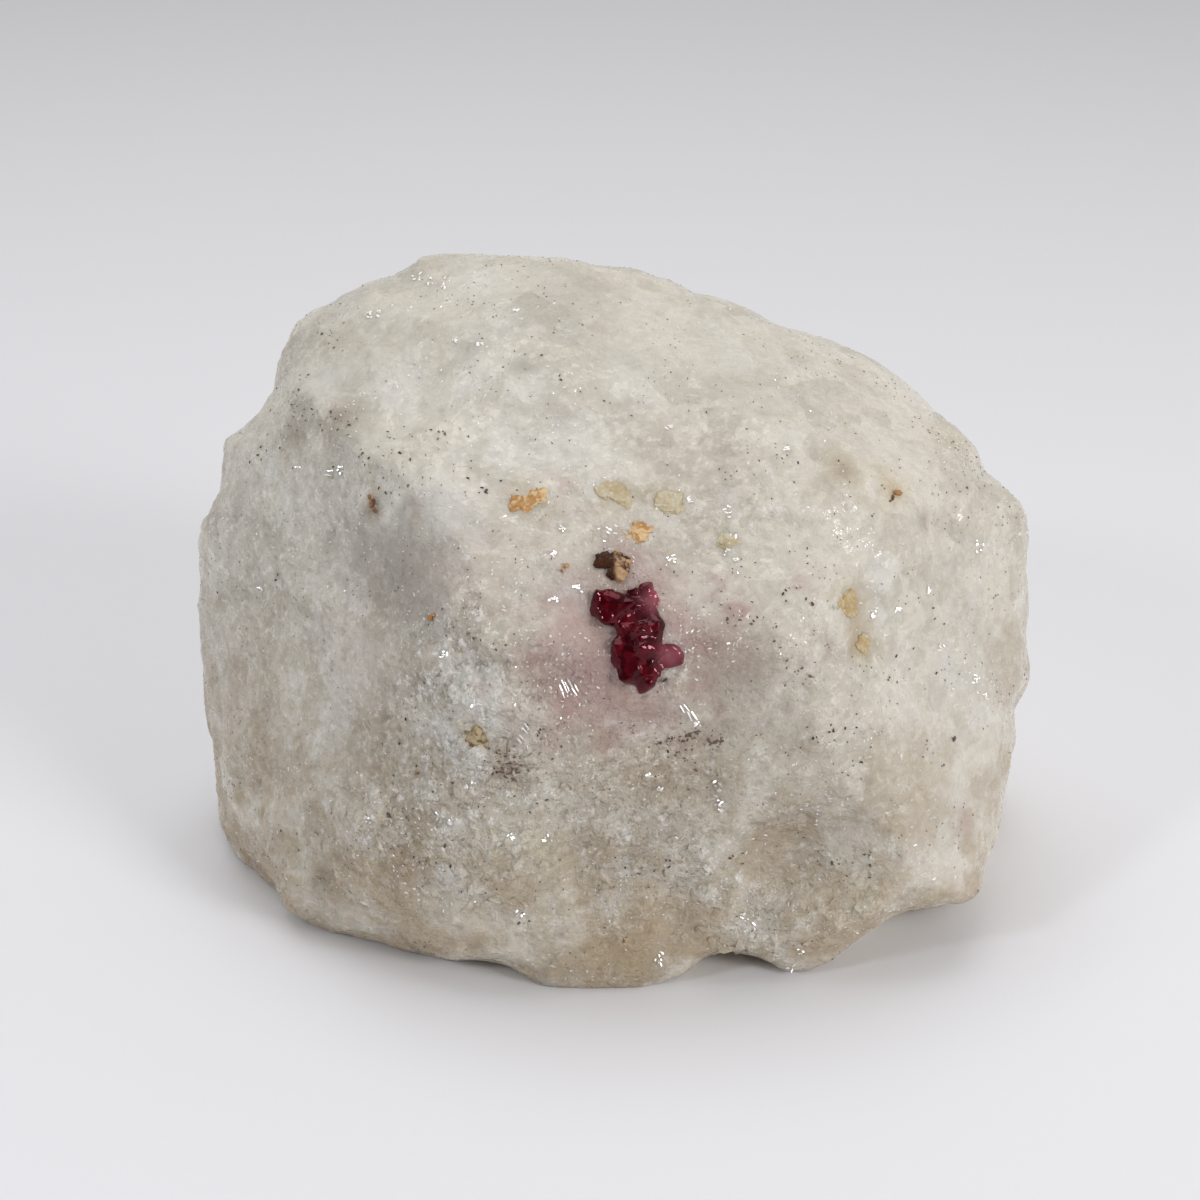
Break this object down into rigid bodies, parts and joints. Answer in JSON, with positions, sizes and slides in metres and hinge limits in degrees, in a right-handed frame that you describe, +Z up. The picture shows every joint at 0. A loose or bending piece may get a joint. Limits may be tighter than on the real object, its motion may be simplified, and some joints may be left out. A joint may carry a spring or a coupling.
{
  "type": "spinel in marble matrix",
  "caption": "Palm-sized block of sugary white marble, broken flat underneath, with a cluster of wine-red spinel crystals and small brown, orange and amber grains in its show side.",
  "frame": {"origin": "middle of the object's box, on the surface that it rests on", "axes": "+Z up; +X along the block's length, to the right as the show side is seen; -Y out of the show side"},
  "size_m": [0.074, 0.0528, 0.0538],
  "materials": {
    "marble": "rough broken marble, granular and slightly translucent, with glints from cleaved calcite",
    "spinel": "deep wine-red crystal, glossy, lets light through at thin edges",
    "brown_grain": "dark brown to tan, glossy",
    "orange_grain": "earthy orange, satin",
    "yellow_grain": "pale yellow, translucent, satin",
    "amber_grain": "pale amber, translucent, satin",
    "olive_grain": "olive tan, satin"
  },
  "bodies": {
    "root": {"marble_matrix": "marble", "spinel_cluster": "spinel", "brown_grain": "brown_grain", "orange_grain_left": "orange_grain", "orange_grain_middle": "orange_grain", "yellow_grain_left": "yellow_grain", "yellow_grain_round": "yellow_grain", "yellow_grain_right": "yellow_grain", "amber_grain": "amber_grain", "amber_grain_small": "amber_grain", "olive_grain": "olive_grain"}
  },
  "joints": []
}
